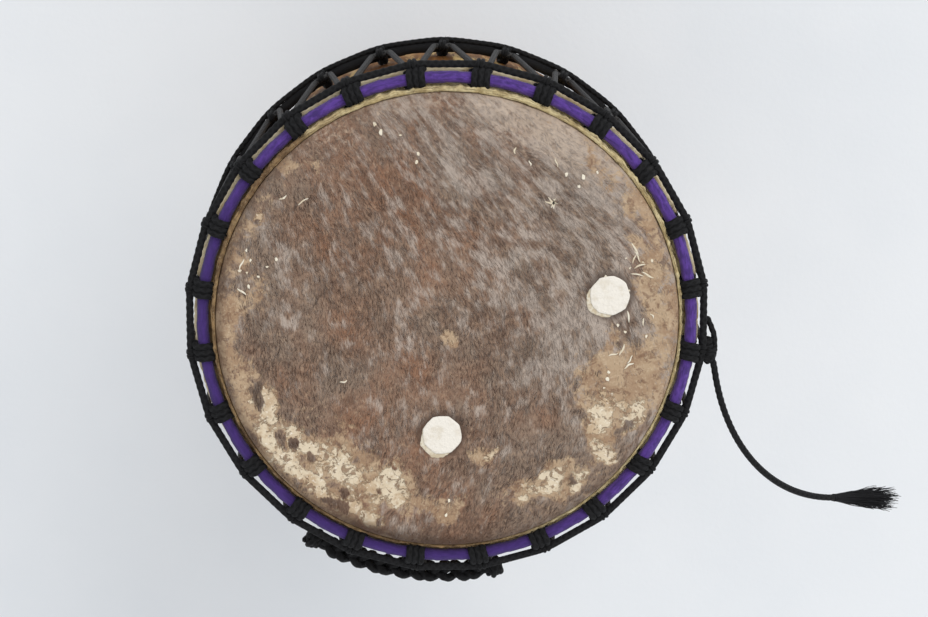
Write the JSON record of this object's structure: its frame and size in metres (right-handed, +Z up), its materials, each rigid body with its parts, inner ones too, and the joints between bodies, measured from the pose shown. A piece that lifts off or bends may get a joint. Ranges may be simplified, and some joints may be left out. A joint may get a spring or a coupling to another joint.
{
  "type": "rope-tuned goblet drum",
  "caption": "Goblet-shaped wooden hand drum with a hair-on hide head held by a cloth-wrapped ring and rope loops, and tuned by a zig-zag rope down to a lower ring.",
  "frame": {"origin": "centre of the foot's resting face on the floor", "axes": "+Z up the drum's axis to the playing head, +X towards the side where the loose tail hangs, +Y away from the chained spare rope"},
  "size_m": [0.518, 0.3778, 0.5811],
  "materials": {
    "shell_wood": "oiled hardwood with visible grain and adze marks",
    "hide": "short brown hair on a cream hide, worn bare in places",
    "ring_steel": "bent round rod, hidden under cloth and hide",
    "crown_cloth": "purple cotton strip, wound tight",
    "lower_cloth": "black cotton strip, wound tight",
    "cord": "black braided polyester cord, matt",
    "frayed_cord": "black loose fibres",
    "patch_white": "matt white disc",
    "old_glue": "yellowed glue"
  },
  "bodies": {
    "drum": {"shell": "shell_wood", "head_skin": "hide", "flesh_ring": "ring_steel", "crown_ring": "ring_steel", "crown_ring_cloth": "crown_cloth", "crown_loop_rope": "cord", "tuning_rope": "cord", "lower_ring": "ring_steel", "lower_ring_cloth": "lower_cloth", "lower_loop_rope": "cord", "spare_rope_knot": "cord", "tail_hitch": "cord", "patch_side": "patch_white", "patch_side_glue": "old_glue", "patch_lower": "patch_white", "patch_lower_glue": "old_glue"},
    "spare_rope": {"spare_rope_braid": "cord", "braid_end_knot": "cord"},
    "tail": {"tail_cord": "cord"},
    "tassel": {"tail_tassel": "frayed_cord"}
  },
  "joints": [
    {"name": "spare_rope_swing", "type": "hinge", "parent": "drum", "child": "spare_rope", "pos_m": [-0.0949, -0.16437, 0.539], "axis": [0, 0, 1], "range_deg": [-60, 0]},
    {"name": "tail_swing", "type": "hinge", "parent": "drum", "child": "tail", "pos_m": [0.18621, -0.03116, 0.56], "axis": [0, 0, 1], "range_deg": [-4, 50]},
    {"name": "tassel_bend", "type": "hinge", "parent": "tail", "child": "tassel", "pos_m": [0.28326, -0.15613, 0.4718], "axis": [0, 0, 1], "range_deg": [-30, 30]}
  ]
}
